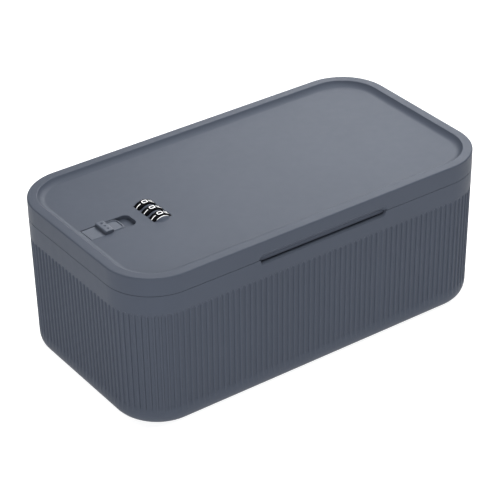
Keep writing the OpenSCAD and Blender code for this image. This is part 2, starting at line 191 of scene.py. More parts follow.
def bake_modifiers(obj):
    """Puts what the object's modifiers make into its mesh."""
    graph = bpy.context.evaluated_depsgraph_get()
    graph.update()
    made = bpy.data.meshes.new_from_object(obj.evaluated_get(graph))
    obj.modifiers.clear()
    old = obj.data
    obj.data = made
    bpy.data.meshes.remove(old)


def combine(obj, shapes, operation):
    """Adds closed shapes to obj's mesh, or cuts them from it."""
    other = new_object("tool", *join_shapes(shapes))
    mod = obj.modifiers.new("combine", "BOOLEAN")
    mod.operation = operation
    mod.solver = "EXACT"
    mod.object = other
    bake_modifiers(obj)
    mesh = other.data
    bpy.data.objects.remove(other)
    bpy.data.meshes.remove(mesh)


def finish_mesh(obj, material, sharp_deg):
    """Smooth shading with real corners kept, and even shading beside large flat faces."""
    mesh = obj.data
    bm = bmesh.new()
    bm.from_mesh(mesh)
    bmesh.ops.remove_doubles(bm, verts=bm.verts, dist=0.002 * MM)
    bmesh.ops.dissolve_degenerate(bm, dist=0.001 * MM, edges=bm.edges)
    bm.to_mesh(mesh)
    bm.free()
    mesh.polygons.foreach_set("use_smooth", [True] * len(mesh.polygons))
    mesh.set_sharp_from_angle(angle=math.radians(sharp_deg))
    mod = obj.modifiers.new("even", "WEIGHTED_NORMAL")
    mod.mode = "FACE_AREA"
    mod.weight = 50
    mod.keep_sharp = True
    bake_modifiers(obj)
    obj.data.materials.clear()
    obj.data.materials.append(material)


def loft(sections):
    """A closed solid through sections of equally many points, capped at both ends."""
    n = len(sections[0])
    verts = [tuple(p) for section in sections for p in section]
    faces = []
    for i in range(len(sections) - 1):
        for j in range(n):
            k = (j + 1) % n
            faces.append((i * n + j, i * n + k, (i + 1) * n + k, (i + 1) * n + j))
    faces.append(tuple(reversed(range(n))))
    faces.append(tuple(range((len(sections) - 1) * n, len(sections) * n)))
    return verts, faces


def grow(outline, amount):
    """A closed outline moved outwards by an amount, for an anticlockwise outline."""
    pts = np.asarray(outline, float)
    ahead = np.roll(pts, -1, axis=0) - pts
    behind = pts - np.roll(pts, 1, axis=0)
    ahead /= np.maximum(np.linalg.norm(ahead, axis=1, keepdims=True), 1e-9)
    behind /= np.maximum(np.linalg.norm(behind, axis=1, keepdims=True), 1e-9)
    n1 = np.c_[ahead[:, 1], -ahead[:, 0]]
    n2 = np.c_[behind[:, 1], -behind[:, 0]]
    mid = n1 + n2
    mid /= np.maximum(1 + np.sum(n1 * n2, axis=1, keepdims=True), 0.3)
    return pts + mid * amount


def rounded(corners, steps=8):
    """A closed outline from corners (a, b, radius), anticlockwise."""
    out = []
    count = len(corners)
    for i, (a, b, radius) in enumerate(corners):
        here = np.array([a, b], float)
        if radius <= 0:
            out.append(here)
            continue
        before = np.array(corners[i - 1][:2], float) - here
        after = np.array(corners[(i + 1) % count][:2], float) - here
        before /= np.linalg.norm(before)
        after /= np.linalg.norm(after)
        half = math.acos(max(-1.0, min(1.0, float(before @ after)))) / 2
        reach = radius / math.tan(half)
        centre = here + (before + after) / np.linalg.norm(before + after) * radius / math.sin(half)
        start = here + before * reach - centre
        end = here + after * reach - centre
        turn = math.atan2(start[0] * end[1] - start[1] * end[0], float(start @ end))
        for s in range(steps + 1):
            c, w = math.cos(turn * s / steps), math.sin(turn * s / steps)
            out.append(centre + np.array([c * start[0] - w * start[1], w * start[0] + c * start[1]]))
    return np.array(out)


def arc(cx, cy, radius, start_deg, end_deg, steps):
    """Points on an arc, with both ends."""
    return [
        (cx + radius * math.cos(math.radians(a)), cy + radius * math.sin(math.radians(a)))
        for a in np.linspace(start_deg, end_deg, steps + 1)
    ]


def slab(x0, x1, half_w, r_left, r_right, levels, steps=8):
    """Solid with a rounded plan, lofted through levels of (outward offset, z)."""
    sections = []
    for off, z in levels:
        plan = rounded(
            [
                (x0 - off, -half_w - off, max(r_left + off, 0.05)),
                (x1 + off, -half_w - off, max(r_right + off, 0.05)),
                (x1 + off, half_w + off, max(r_right + off, 0.05)),
                (x0 - off, half_w + off, max(r_left + off, 0.05)),
            ],
            steps,
        )
        sections.append([(p[0], p[1], z) for p in plan])
    return loft(sections)


def extrude_y(outline, y0, y1, bevel=0.3):
    """Solid from an outline in X and Z, run along Y, with softened end edges."""
    cuts = [(y0, bevel), (y0 + 0.3 * bevel, 0.3 * bevel), (y0 + bevel, 0.0), (y1 - bevel, 0.0),
            (y1 - 0.3 * bevel, 0.3 * bevel), (y1, bevel)]
    return loft([[(p[0], y, p[1]) for p in grow(outline, -inset)] for y, inset in cuts])


def tube_y(cx, cz, radius, y0, y1, sides=64):
    """Round cutter along Y."""
    ring = [(cx + radius * math.cos(t), cz + radius * math.sin(t)) for t in np.arange(sides) * TAU / sides]
    return loft([[(p[0], y, p[1]) for p in ring] for y in (y0, y1)])


def tube_z(cx, cy, levels, sides=48):
    """Round solid or cutter along Z, through levels of (radius, z)."""
    return loft([
        [(cx + r * math.cos(t), cy + r * math.sin(t), z) for t in np.arange(sides) * TAU / sides]
        for r, z in levels
    ])


def lathe_y(cx, cz, profile, sides=128):
    """Solid turned about Y from a profile of (y, radius) that starts and ends on the axis."""
    verts = [(cx, profile[0][0], cz)]
    inner = profile[1:-1]
    for y, r in inner:
        verts.extend((cx + r * math.sin(t), y, cz + r * math.cos(t)) for t in np.arange(sides) * TAU / sides)
    verts.append((cx, profile[-1][0], cz))
    faces = []
    last = len(verts) - 1
    for j in range(sides):
        k = (j + 1) % sides
        faces.append((0, 1 + j, 1 + k))
        top = 1 + (len(inner) - 1) * sides
        faces.append((last, top + k, top + j))
        for i in range(len(inner) - 1):
            a = 1 + i * sides
            faces.append((a + j, a + sides + j, a + sides + k, a + k))
    return verts, faces


def block(low, high, edge=0.3):
    """Box between two corners, with rounded upright edges."""
    x0, y0, z0 = low
    x1, y1, z1 = high
    plan = rounded([(x0, y0, edge), (x1, y0, edge), (x1, y1, edge), (x0, y1, edge)], 3)
    return loft([[(p[0], p[1], z) for p in plan] for z in (z0, z1)])


def smooth(t):
    """Smooth step from 0 to 1."""
    t = np.clip(t, 0, 1)
    return t * t * (3 - 2 * t)


# ---------------------------------------------------------------------------
# The box's plan, as distance along its outside from the middle of the front
# ---------------------------------------------------------------------------
HALF_X = BOX_L / 2 - CORNER_R
HALF_Y = BOX_W / 2 - CORNER_R
ARC = CORNER_R * math.pi / 2
AROUND = 4 * HALF_X + 4 * HALF_Y + 4 * ARC
FLUTE_PITCH = AROUND / FLUTES


def plan_frame(u):
    """For distances u along the outside: points on the corner centres' rectangle, and outward directions."""
    v = np.mod(u + HALF_X, AROUND)
    core = np.zeros((len(v), 2))
    out = np.zeros((len(v), 2))
    sides = [
        ((-HALF_X, -HALF_Y), (1, 0), 2 * HALF_X, -90),
        ((HALF_X, -HALF_Y), (0, 1), 2 * HALF_Y, 0),
        ((HALF_X, HALF_Y), (-1, 0), 2 * HALF_X, 90),
        ((-HALF_X, HALF_Y), (0, -1), 2 * HALF_Y, 180),
    ]
    begin = 0.0
    for start, along, length, angle in sides:
        flat = (v >= begin) & (v < begin + length)
        d = (v[flat] - begin)[:, None]
        core[flat] = np.array(start) + d * np.array(along)
        out[flat] = (math.cos(math.radians(angle)), math.sin(math.radians(angle)))
        bend = (v >= begin + length) & (v < begin + length + ARC)
        t = math.radians(angle) + (v[bend] - begin - length) / CORNER_R
        core[bend] = np.array(start) + length * np.array(along)
        out[bend] = np.c_[np.cos(t), np.sin(t)]
        begin += length + ARC
    return core, out


def columns(base, extra):
    """Sorted distances around the box. Extra ones are kept, and base ones too near to them are dropped."""
    extra = np.mod(np.array(extra, float), AROUND)
    base = np.mod(np.array(base, float), AROUND)
    gap = np.abs((base[:, None] - extra[None, :] + AROUND / 2) % AROUND - AROUND / 2).min(axis=1)
    return np.unique(np.round(np.concatenate([base[gap > 0.12], extra]), 5))


def both_long_sides(xs):
    """Distances around the box of these x values on the front and on the back."""
    xs = np.array(xs, float)
    return np.concatenate([xs, AROUND / 2 - xs])


def ring_rows(u, rows):
    """Points of closed rows around the box. Each row is (inset, z), as numbers or as arrays over u."""
    core, out = plan_frame(u)
    verts = []
    for inset, z in rows:
        reach = (CORNER_R - (np.zeros(len(u)) + inset))[:, None]
        xy = core + out * reach
        verts.append(np.c_[xy, np.zeros(len(u)) + z])
    verts = np.concatenate(verts)
    n = len(u)
    faces = []
    for i in range(len(rows) - 1):
        a = i * n + np.arange(n)
        b = i * n + np.roll(np.arange(n), -1)
        faces.append(np.c_[a, b, b + n, a + n])
    return verts, np.concatenate(faces)


# ---------------------------------------------------------------------------
# Bin
# ---------------------------------------------------------------------------
def slot_floor(u):
    """Height of the bin's top edge, which dips in the finger slots."""
    core, out = plan_frame(u)
    beyond = np.clip(np.abs(core[:, 0]) - (SLOT_HALF - SLOT_R), 0, SLOT_R)
    dip = SLOT_Z - np.sqrt(SLOT_R ** 2 - beyond ** 2)
    top = np.full(len(u), BIN_TOP)
    here = (np.abs(out[:, 1]) > 0.999) & (np.abs(core[:, 0]) < SLOT_HALF)
    top[here] = np.minimum(dip[here], BIN_TOP)
    return top


def flute_depth(u, z):
    """How far the bin's outside lies below the beads' crests."""
    s = np.mod(u - BEAD_SHIFT + FLUTE_PITCH / 2, FLUTE_PITCH) - FLUTE_PITCH / 2
    away = np.abs(s)
    part = np.clip(away / BEAD_HALF, 0, 1)
    across = 1 - np.sqrt(1 - part ** 2)
    half = FLUTE_PITCH / 2 - BEAD_HALF
    from_middle = np.clip(FLUTE_PITCH / 2 - away, 0, half)
    arch = FLUTE_TOP - (half - np.sqrt(half ** 2 - from_middle ** 2))
    upper = smooth((arch - z) / 0.9)
    lower = smooth((z - FLUTE_FOOT) / 5.5)
    return FLUTE_DEPTH * across * upper * lower


def bin_hinge_shapes():
    """For each hinge, two knuckles with webs that run out into the wall, and the lid's stop between them."""
    knuckle = [(HINGE_WALL_X, HINGE_ROOT_Z), (HINGE_ROOT_X, HINGE_ROOT_Z)]
    knuckle += arc(HINGE_X, SEAM_Z, KNUCKLE_R, -62, 172, 28)
    knuckle += [(HINGE_WALL_X, SEAM_Z - 0.2)]
    stop = [(HINGE_WALL_X, HINGE_ROOT_Z), (HINGE_ROOT_X, HINGE_ROOT_Z), (152.2, 101.6)]
    stop += arc(HINGE_X, SEAM_Z, STOP_R, -88, -27, 12)
    stop += arc(HINGE_X, SEAM_Z, STOP_HOLLOW_R, -27, -176.8, 20)
    stop += [(HINGE_WALL_X, SEAM_Z - 0.2)]
    shapes = []
    for y in HINGE_YS:
        for start in (-KNUCKLE_START - KNUCKLE_W, KNUCKLE_START):
            shapes.append(extrude_y(knuckle, y + start, y + start + KNUCKLE_W))
        shapes.append(extrude_y(stop, y - STOP_HALF, y + STOP_HALF, 0.25))
    return shapes


def strike_pad():
    """Raised pad on the inside of the lock end's wall."""
    low, high = box_mm("strike_plate")
    half_w, foot, top, pad_x = 13, high[2] - 16.8, high[2], low[0]
    pad = rounded([(-half_w, foot, 1.2), (half_w, foot, 1.2), (half_w, top, 0.6), (-half_w, top, 0.6)], 4)
    levels = ((-148.8, 0), (pad_x - 0.3, 0), (pad_x - 0.1, 0.1), (pad_x, 0.3))
    return loft([[(x, p[0], p[1]) for p in grow(pad, -inset)] for x, inset in levels])


def make_bin(material):
    across = [0.25, 0.5, 0.72, 0.88, 0.97, 1.0]
    offsets = [-part for part in reversed(across)] + [0.0] + across
    beads = np.arange(FLUTES)[:, None] * FLUTE_PITCH + BEAD_SHIFT
    groove = [FLUTE_PITCH / 2]
    base = (beads + np.concatenate([np.array(offsets) * BEAD_HALF, groove])[None, :]).ravel()
    ends = [SLOT_HALF - SLOT_R + SLOT_R * math.sin(math.radians(a)) for a in (0, 20, 38, 53, 66, 77, 86.04)]
    u = columns(base, both_long_sides(ends + [-e for e in ends]))
    top = slot_floor(u)
    lean = DRAFT * (SEAM_Z - BOTTOM_R)
    # the underside, which rises by a shallow step inside the rim that the box stands on
    rows = [(24.0, 0.9), (21.4, 0.9), (20.9, 0.75), (20.6, 0.35), (20.3, 0.08), (19.9, 0.0)]
    for a in np.arange(0, 91, 9):
        z = BOTTOM_R * (1 - math.cos(math.radians(a)))
        inset = lean + BOTTOM_R * (1 - math.sin(math.radians(a)))
        rows.append((inset + flute_depth(u, z), z))
    flute_ends = [14.8, 15.8, 16.8, 17.8, 24, 56, 88.5]
    arches = list(np.arange(90.1, 93.21, 0.32))
    plain_band = [96.5, 100.2, 102.9]
    for z in flute_ends + arches + plain_band:
        rows.append((DRAFT * (SEAM_Z - z) + flute_depth(u, z), z))
    # the top edge, which is rounder along the finger slots
    outer_edge = SOFT_EDGE + 1.6 * smooth((BIN_TOP - top) / 1.8)
    for a in (0, 22.5, 45, 67.5, 90):
        t = math.radians(a)
        rows.append((outer_edge * (1 - math.cos(t)), top - outer_edge * (1 - math.sin(t))))
    for a in (90, 45, 0):
        t = math.radians(a)
        rows.append((WALL - SOFT_EDGE * (1 - math.cos(t)), top - SOFT_EDGE * (1 - math.sin(t))))
    for z in (100.0, 60.0):
        rows.append((WALL + DRAFT * (SEAM_Z - z), z))
    inner_r = BOTTOM_R - WALL
    for a in np.arange(90, -1, -11.25):
        t = math.radians(a)
        rows.append((WALL + lean + inner_r * (1 - math.sin(t)), WALL + inner_r * (1 - math.cos(t))))
    verts, faces = ring_rows(u, rows)
    n = len(u)
    faces = [tuple(f) for f in faces]
    faces.append(tuple(reversed(range(n))))
    faces.append(tuple(range(len(verts) - n, len(verts))))
    bin_obj = new_object("bin_body", verts, faces)

    parts = bin_hinge_shapes() + [strike_pad()]
    combine(bin_obj, parts, "UNION")
    reach = KNUCKLE_START + KNUCKLE_W + 1.0
    bores = [tube_y(HINGE_X, SEAM_Z, BIN_PIN_R, y - reach, y + reach) for y in HINGE_YS]
    combine(bin_obj, bores, "DIFFERENCE")
    finish_mesh(bin_obj, material, 70)
    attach(bin_obj, "bin")
    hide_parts("bin_shell")


# ---------------------------------------------------------------------------
# Lid
# ---------------------------------------------------------------------------
def scoop(u, z):
    """How far the lid's skirt curves inwards above the finger slots."""
    core, out = plan_frame(u)
    beyond = np.clip(np.abs(core[:, 0]) - (SLOT_HALF - SLOT_R), 0, None)
    inside = SCOOP_R - np.sqrt(beyond ** 2 + (z - SLOT_Z) ** 2)
    depth = 0.8 * smooth(inside / 0.7) + 2.1 * smooth((inside - 0.9) / 3.2) ** 1.5
    return np.where(np.abs(out[:, 1]) > 0.999, depth, 0.0)


def hump_height(x, y):
    """Height above the panel of the arched mound round the number wheels."""
    drop = PANEL_Z - AXLE_Z
    along = np.clip((np.abs(y) - CHEEK_Y) / (CHEEK_END - CHEEK_Y), 0, 1)
    r = CHEEK_R - (CHEEK_R - drop + 0.25) * smooth(along * 0.96)
    h = np.sqrt(np.maximum(r ** 2 - (x - AXLE_X) ** 2, 0)) - drop
    soft = 0.55
    h = np.where(np.abs(h) < soft, (h + soft) ** 2 / (4 * soft), np.maximum(h, 0))
    return np.where(np.abs(x - AXLE_X) > r, 0.0, h)


def lid_columns():
    """Distances around the box of the lid's columns, closer in the corners and at the slots' ends."""
    base = [0.0]
    start = -HALF_X
    for length, steps in ((2 * HALF_X, 24), (2 * HALF_Y, 12)) * 2:
        base += list(start + np.linspace(0, length, steps + 1))
        base += list(start + length + np.linspace(0, ARC, 25))
        start += length + ARC
    slot_ends = [side * x for side in (-1, 1) for x in np.arange(46.5, 54.6, 0.5)]
    patch = [AXLE_X - HUMP_X, AXLE_X + HUMP_X]
    return columns(base, both_long_sides(slot_ends + patch + [-40, 0, 40]))


def lid_rows(u):
    """The lid's section from under the panel, round its lip, up its skirt and over the rim to the panel."""
    soft = 0.3
    tuck = 0.09
    rows = [(LIP_OUT, UNDER_Z), (LIP_OUT, LIP_Z + soft), (LIP_OUT - tuck, LIP_Z + tuck),
            (LIP_OUT - soft, LIP_Z), (LIP_IN + soft, LIP_Z), (LIP_IN + tuck, LIP_Z + tuck),
            (LIP_IN, LIP_Z + soft), (LIP_IN, LID_FOOT)]
    rows.append((np.minimum(scoop(u, LID_FOOT) + SOFT_EDGE, LIP_IN - 0.03), LID_FOOT))
    rows.append((np.minimum(scoop(u, LID_FOOT + 0.06) + 0.06, LIP_IN - 0.04), LID_FOOT + 0.06))
    for z in list(LID_FOOT + np.arange(0.2, 4.7, 0.3)) + [113.0, 116.0]:
        rows.append((scoop(u, z), z))
    for a in np.arange(0, 91, 15):
        t = math.radians(a)
        rows.append((EDGE_R * (1 - math.cos(t)), BOX_H - EDGE_R * (1 - math.sin(t))))
    # the rim's crest and the hollow slope that runs from it down to the panel
    rise = BOX_H - PANEL_Z
    hollow_r = SLOPE_W / math.sin(2 * math.atan(rise / SLOPE_W))
    steepest = math.acos(1 - rise / (hollow_r + CREST_R))
    crest_x = RIM_W + SLOPE_W - (hollow_r + CREST_R) * math.sin(steepest)
    for t in np.linspace(0, steepest, 7):
        rows.append((crest_x + CREST_R * math.sin(t), BOX_H - CREST_R * (1 - math.cos(t))))
    for t in np.linspace(steepest, 0, 10)[1:]:
        rows.append((RIM_W + SLOPE_W - hollow_r * math.sin(t), PANEL_Z + hollow_r * (1 - math.cos(t))))
    return rows


def lid_body():
    """The lid without its windows: rings, and a panel with the mound round the wheels."""
    u = lid_columns()
    n = len(u)
    rows = lid_rows(u)
    verts, quads = ring_rows(u, rows)
    verts = [tuple(v) for v in verts]
    faces = [tuple(f) for f in quads]
    faces.append(tuple(reversed(range(n))))

    # the panel is a fine patch round the wheels, joined to the slope's foot by four flat faces
    nx, ny = 56, 110
    gx = np.linspace(AXLE_X - HUMP_X, AXLE_X + HUMP_X, nx + 1)
    gy = np.linspace(-HUMP_Y, HUMP_Y, ny + 1)
    start = len(verts)
    for y in gy:
        for x in gx:
            verts.append((x, y, PANEL_Z + float(hump_height(x, y))))
    foot = (len(rows) - 1) * n

    def at(i, j):
        return start + j * (nx + 1) + i

    def index(x, front):
        want = np.mod(both_long_sides([x])[0 if front else 1], AROUND)
        return int(np.argmin(np.abs(u - want)))

    def run(a, b):
        """Points of the slope's foot from column a to column b, going round."""
        out, i = [], a
        while True:
            out.append(foot + i)
            if i == b:
                return out
            i = (i + 1) % n

    for j in range(ny):
        for i in range(nx):
            faces.append((at(i, j), at(i + 1, j), at(i + 1, j + 1), at(i, j + 1)))
    front_left, front_right = index(gx[0], True), index(gx[-1], True)
    back_left, back_right = index(gx[0], False), index(gx[-1], False)
    faces.append(tuple(run(front_left, front_right) + [at(i, 0) for i in range(nx, -1, -1)]))
    faces.append(tuple(run(front_right, back_right) + [at(nx, j) for j in range(ny, -1, -1)]))
    faces.append(tuple(run(back_right, back_left) + [at(i, ny) for i in range(nx + 1)]))
    faces.append(tuple(run(back_left, front_left) + [at(0, j) for j in range(ny + 1)]))
    return new_object("lid_body", verts, faces)


def window_cutter():
    """Turned cutter for the three windows, with softened edges, and for the shaft's passage."""
    shaft_r, window_r = 5.0, WHEEL_R + 0.3
    half = WHEEL_W / 2 + 0.25
    flare = [(0, shaft_r), (0, 7.86), (0.06, 8.0), (0.2, 8.15), (0.2, window_r)]
    profile = [(-15.2, 0), (-15.2, shaft_r)]
    for y in WHEEL_YS:
        profile += [(y - half - out, r) for out, r in flare]
        profile += [(y + half + out, r) for out, r in reversed(flare)]
    profile += [(12.9, shaft_r), (12.9, 0)]
    return lathe_y(AXLE_X, AXLE_Z, profile, 160)


def make_lid(material):
    lid = lid_body()

    # the tray under the latch, the screw posts and the hinge bars
    inside_panel = 115.2
    tray_levels = [(-0.5, 112.8), (-0.15, 112.95), (0, 113.3), (0, 114.2), (0.7, inside_panel)]
    post_levels = [(2.8, 110.0), (3.0, 110.2), (3.0, 114.0), (3.4, 114.7), (3.6, inside_panel)]
    parts = [slab(-138.4, -99.0, 8.6, 1.0, 1.0, tray_levels)]
    parts += [tube_z(x, y, post_levels) for x, y in POSTS]
    bar = [(149.2, SEAM_Z + SEAM_GAP)] + arc(HINGE_X, SEAM_Z, KNUCKLE_R, 173, 452, 34)
    bar += [(149.2, SEAM_Z + KNUCKLE_R)]
    parts += [extrude_y(bar, y - BAR_HALF, y + BAR_HALF) for y in HINGE_YS]
    combine(lid, parts, "UNION")

    # the click spring's two blocks, and the lug on each hinge bar that meets the stop
    ribs = [block((x, 8.9, 110.1), (x + 2, 10.9, inside_panel)) for x in (-127.5, -110.5)]
    lug = rounded([(HINGE_X - 0.7, SEAM_Z + 2.4, 0), (HINGE_X + 0.7, SEAM_Z + 2.4, 0),
                   (HINGE_X + 0.7, SEAM_Z + 4.9, 0.3), (HINGE_X - 0.7, SEAM_Z + 4.9, 0.3)], 3)
    ribs += [extrude_y(lug, y - 2.6, y + 2.6, 0.15) for y in HINGE_YS]
    combine(lid, ribs, "UNION")

    # windows, latch recess with the slit for the slider's stem, screw holes and pin bores
    combine(lid, [window_cutter()], "DIFFERENCE")
    recess_levels = [(-0.5, 114.2), (-0.15, 114.3), (0, RECESS_Z), (0, 116.75), (0.12, 117.05), (0.5, 117.22),
                     (0.5, 118.5)]
    combine(lid, [slab(*RECESS, RECESS_HALF, 0.8, 4.0, recess_levels, 10)], "DIFFERENCE")
    combine(lid, [slab(-127.4, -110.5, 2.8, 0.3, 0.3, [(0, 111.0), (0, 114.7)])], "DIFFERENCE")
    holes = [tube_z(x, y, [(1.2, 109.0), (1.2, 114.0)]) for x, y in POSTS]
    reach = BAR_HALF + 0.8
    holes += [tube_y(HINGE_X, SEAM_Z, LID_PIN_R, y - reach, y + reach) for y in HINGE_YS]
    combine(lid, holes, "DIFFERENCE")
    finish_mesh(lid, material, 38)
    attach(lid, "lid")
    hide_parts("lid_shell")


def make_painted_edge_highlight(material):
    """The thin pale crescent on the front edge of the mound: a painted highlight in white ink, where that
    edge catches the light.
    """
    reach_deg, lift, thickness = 36, 0.06, 0.16
    middle_y = -CHEEK_Y + 0.1
    sections = []
    for a in np.linspace(-reach_deg, reach_deg, 37):
        x = AXLE_X + (CHEEK_R - 0.05) * math.sin(math.radians(a))
        half = 0.08 + 0.4 * math.sqrt(1 - (a / reach_deg) ** 2)
        ys = np.linspace(middle_y - half, middle_y + half, 6)
        tops = [(x, y, PANEL_Z + float(hump_height(x, y)) + lift) for y in ys]
        sections.append(tops + [(x, y, z - thickness) for x, y, z in reversed(tops)])
    line = new_object("painted_edge_highlight", *loft(sections))
    finish_mesh(line, material, 40)
    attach(line, "lid")


# ---------------------------------------------------------------------------
# Slide latch
# ---------------------------------------------------------------------------
def slider_ridge(free_end):
    """The low rounded ridge that runs from the bar round the plate's free end."""
    half, radius = SLIDER_HALF - 1.15, 2.9
    start_x, turn_x = -121.5, free_end - 1.15 - radius
    path = [(start_x, -half)]
    path += arc(turn_x, -half + radius, radius, -90, 0, 10)
    path += arc(turn_x, half - radius, radius, 0, 90, 10)
    path += [(start_x, half)]
    path = np.array(path)
    step = np.gradient(path, axis=0)
    step /= np.linalg.norm(step, axis=1, keepdims=True)
    side = np.c_[step[:, 1], -step[:, 0]]
    rise = [(-0.62, -0.3), (-0.62, 0.02), (-0.5, 0.32), (-0.26, 0.54)]
    shape = rise + [(0, 0.6)] + [(-across, up) for across, up in reversed(rise)]
    sections = [[(p[0] + q[0] * across, p[1] + q[1] * across, SLIDER_TOP + up) for across, up in shape]
                for p, q in zip(path, side)]
    return loft(sections)


def make_slider(material):
    free_end, thumb_top = slider_high[0], slider_high[2]
    levels = [(-0.2, SLIDER_Z), (0, SLIDER_Z + 0.2), (0, SLIDER_TOP - 0.4), (-0.12, SLIDER_TOP - 0.12),
              (-0.4, SLIDER_TOP)]
    obj = new_object("latch_thumb_slider", *slab(slider_low[0], free_end, SLIDER_HALF, 0.6, 3.8, levels, 12))
    left, right = THUMB_X
    bar = rounded([(left, SLIDER_TOP - 0.5, 0), (right, SLIDER_TOP - 0.5, 0), (right, thumb_top, 0.9),
                   (left, thumb_top, 0.9)], 6)
    ends = [(-7.0, 0.4), (-6.88, 0.12), (-6.6, 0.0), (6.6, 0.0), (6.88, 0.12), (7.0, 0.4)]
    bar = loft([[(p[0], y, p[1]) for p in grow(bar, -inset)] for y, inset in ends])
    stem = slab(-127.0, -119.4, 2.4, 0.3, 0.3, [(0, 112.5), (0, SLIDER_Z + 0.6)])
    combine(obj, [slider_ridge(free_end)], "UNION")
    combine(obj, [bar], "UNION")
    combine(obj, [stem], "UNION")
    ball_r, ball_z = 1.4, thumb_top + 0.85
    tilts = np.radians(np.linspace(-86, 60, 14))
    ball = [(ball_r * math.cos(t), ball_z + ball_r * math.sin(t)) for t in tilts]
    dimples = [tube_z((left + right) / 2, y, ball, 40) for y in (-4.0, 0.0, 4.0)]
    combine(obj, dimples, "DIFFERENCE")
    finish_mesh(obj, material, 35)
    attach(obj, "slider")
    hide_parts("latch_slider")


# ---------------------------------------------------------------------------
# Number wheels
# ---------------------------------------------------------------------------
def wheel_shape(y_mid):
    """Ring with softened edges and a groove between each two numbers."""
    groove_half, groove_depth, bore = 0.8, 0.35, 2.86
    offs = [-1.5, -1.1, -0.7, -0.35, 0, 0.35, 0.7, 1.1, 1.5]
    angles = []
    for k in range(DIGIT_COUNT):
        middle = math.radians(18 + 36 * k)
        angles += [middle + o / WHEEL_R for o in offs]
        angles += [middle + math.radians(a) for a in (12, 15, 18, 21, 24)]
    angles = np.array(sorted(set(np.round(np.mod(angles, TAU), 6))))
    near = np.abs(np.mod(angles, DIGIT_TURN) - DIGIT_TURN / 2) * WHEEL_R
    outer = WHEEL_R - groove_depth * np.clip(1 - (near / groove_half) ** 2, 0, 1)
    w = WHEEL_W / 2
    # each row is (y, radius, whether the radius is counted from the grooved outside)
    rows = [(-w + 0.25, bore, 0), (-w, bore + 0.25, 0), (-w, -0.55, 1), (-w + 0.16, -0.16, 1),
            (-w + 0.55, 0, 1), (w - 0.55, 0, 1), (w - 0.16, -0.16, 1), (w, -0.55, 1), (w, bore + 0.25, 0),
            (w - 0.25, bore, 0)]
    verts, n = [], len(angles)
    for y, r, from_outer in rows:
        radii = outer + r if from_outer else np.full(n, r)
        verts += [(AXLE_X + q * math.sin(t), y_mid + y, AXLE_Z + q * math.cos(t))
                  for q, t in zip(radii, angles)]
    faces = []
    for i in range(len(rows)):
        m = (i + 1) % len(rows)
        for j in range(n):
            k = (j + 1) % n
            faces.append((i * n + j, i * n + k, m * n + k, m * n + j))
    return verts, faces


def rounded_path(points, radius, closed, steps=5):
    """A path with its corners rounded, apart from the two ends of an open one."""
    pts = [np.array(p, float) for p in points]
    count = len(pts)
    out = []
    for i, here in enumerate(pts):
        if not closed and i in (0, count - 1):
            out.append(here)
            continue
        before, after = pts[i - 1] - here, pts[(i + 1) % count] - here
        lb, la = np.linalg.norm(before), np.linalg.norm(after)
        before, after = before / lb, after / la
        angle = math.acos(max(-1, min(1, float(before @ after))))
        reach = min(radius / math.tan(angle / 2), 0.49 * lb, 0.49 * la)
        a, b = here + before * reach, here + after * reach
        for s in range(steps + 1):
            t = s / steps
            out.append((1 - t) ** 2 * a + 2 * t * (1 - t) * here + t ** 2 * b)
    return out


# strokes of the numbers, as paths and whether each is closed, from half the width and half the height
W, H = 1.4, 1.8
STROKE_HALF = 0.31
DIGITS = {
    0: [([(-W, -H), (W, -H), (W, H), (-W, H)], True)],
    1: [([(0.15, -H - STROKE_HALF), (0.15, H + STROKE_HALF)], False)],
    2: [([(-W, 0.75), (-W, H), (W, H), (W, 0.1), (-W, -H), (W + 0.3, -H)], False)],
    3: [([(-W, H), (W, H), (W, 0.05), (-0.35, 0.05)], False),
        ([(0.2, 0.0), (W, 0.0), (W, -H), (-W, -H)], False)],
    4: [([(0.5, -H - STROKE_HALF), (0.5, H + 0.3), (-W, -0.55), (W + 0.35, -0.55)], False)],
    5: [([(W, H), (-W + 0.1, H), (-W, 0.3), (W, 0.3), (W, -H), (-W, -H)], False)],
    6: [([(W - 0.1, H), (-W, H), (-W, -H), (W, -H), (W, 0.2), (-W, 0.2)], False)],
    7: [([(-W - 0.3, H), (W, H), (-0.3, -H - STROKE_HALF)], False)],
    8: [([(-W, 0.05), (-W, H), (W, H), (W, 0.05)], True),
        ([(-W, -H), (W, -H), (W, 0.05), (-W, 0.05)], True)],
    9: [([(-W + 0.1, -H), (W, -H), (W, H), (-W, H), (-W, -0.2), (W, -0.2)], False)],
}


